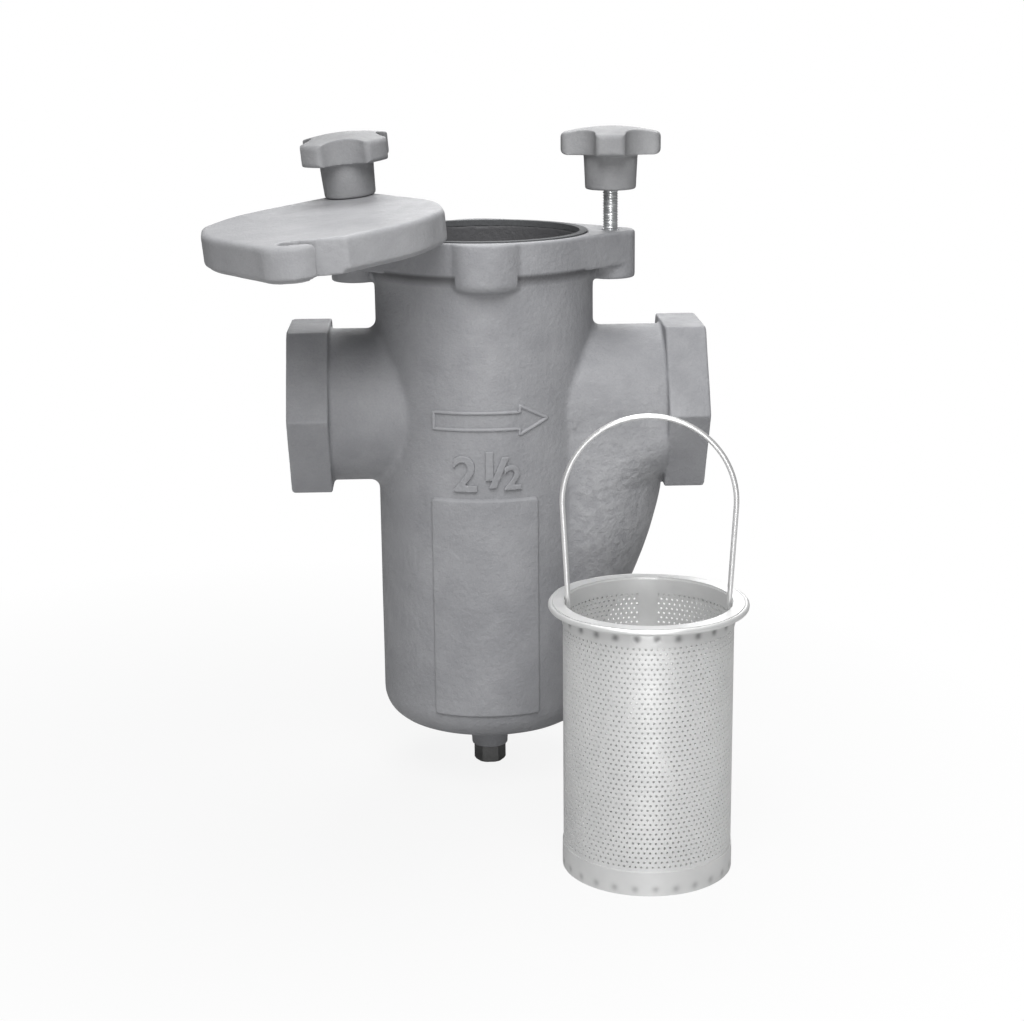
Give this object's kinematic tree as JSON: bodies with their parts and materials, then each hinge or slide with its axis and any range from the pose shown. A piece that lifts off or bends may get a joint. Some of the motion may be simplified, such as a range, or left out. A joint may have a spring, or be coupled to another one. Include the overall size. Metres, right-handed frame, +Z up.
{
  "type": "basket strainer",
  "caption": "In-line basket strainer with threaded hexagonal ends, a swing cover held by two hand knobs, a drain plug and a lift-out perforated basket with a wire bail.",
  "frame": {"origin": "centre of the inlet's end face, on the port centreline", "axes": "+X along the port centreline, from inlet to outlet, the way the water flows; +Z up, along the pot's axis towards the cover"},
  "size_m": [0.304, 0.2999, 0.4044],
  "materials": {
    "cast_grey": "sand-cast iron with a grey coat, satin",
    "zinc_steel": "bright zinc plate",
    "plug_iron": "dark malleable iron",
    "gasket_fibre": "pale grey sheet gasket, matt",
    "stainless_sheet": "mill-finish stainless sheet",
    "stainless_wire": "bright drawn stainless wire"
  },
  "bodies": {
    "housing": {"strainer_body": "cast_grey", "cover_gasket": "gasket_fibre"},
    "pivot_post": {"pivot_stud": "zinc_steel"},
    "swing_cover": {"cover": "cast_grey"},
    "pivot_hand_knob": {"pivot_knob": "cast_grey"},
    "clamp_post": {"clamp_stud": "zinc_steel"},
    "clamp_hand_knob": {"clamp_knob": "cast_grey"},
    "plug": {"drain_plug": "plug_iron"},
    "basket": {"basket_shell": "stainless_sheet", "basket_top_band": "stainless_sheet", "basket_foot_band": "stainless_sheet", "basket_flange": "stainless_sheet", "basket_bottom": "stainless_sheet", "basket_seam_strip": "stainless_sheet"},
    "bail": {"basket_bail": "stainless_wire"}
  },
  "joints": [
    {"name": "cover_lean", "type": "hinge", "parent": "housing", "child": "pivot_post", "pos_m": [0.02908, -0.00761, 0.106], "axis": [0.5075, -0.8616, 0], "range_deg": [-5.91, 0.75]},
    {"name": "cover_swing", "type": "hinge", "parent": "pivot_post", "child": "swing_cover", "pos_m": [0.04193, -0.00004, 0.10754], "axis": [-0.0886, -0.0522, 0.9947], "range_deg": [-12, 100.2]},
    {"name": "pivot_knob_turn", "type": "hinge", "parent": "pivot_post", "child": "pivot_hand_knob", "pos_m": [0.04193, -0.00004, 0.10754], "axis": [-0.0886, -0.0522, 0.9947], "range_deg": [-360, 360]},
    {"name": "clamp_knob_turn", "type": "hinge", "parent": "housing", "child": "clamp_hand_knob", "pos_m": [0.198, 0, 0.106], "axis": [0, 0, 1], "range_deg": [-720, 360]},
    {"name": "clamp_stud_draw", "type": "slide", "parent": "housing", "child": "clamp_post", "axis": [0, 0, 1], "range_m": [-0.0016, 0.0032]},
    {"name": "drain_plug_out", "type": "slide", "parent": "housing", "child": "plug", "axis": [0, 0, -1], "range_m": [0, 0.03]},
    {"name": "basket_lift", "type": "slide", "parent": "housing", "child": "basket", "axis": [0, 0, 1], "range_m": [0, 0.2]},
    {"name": "bail_swing", "type": "hinge", "parent": "basket", "child": "bail", "pos_m": [0.205, -0.1669, -0.0864], "axis": [0.9945, -0.1045, 0], "range_deg": [-45, 45]}
  ],
  "couplings": [
    {"joint": "cover_lean", "follows": "cover_swing", "ratio": -0.058882},
    {"joint": "clamp_stud_draw", "follows": "clamp_knob_turn", "m_per_rad": -0.00025266}
  ]
}
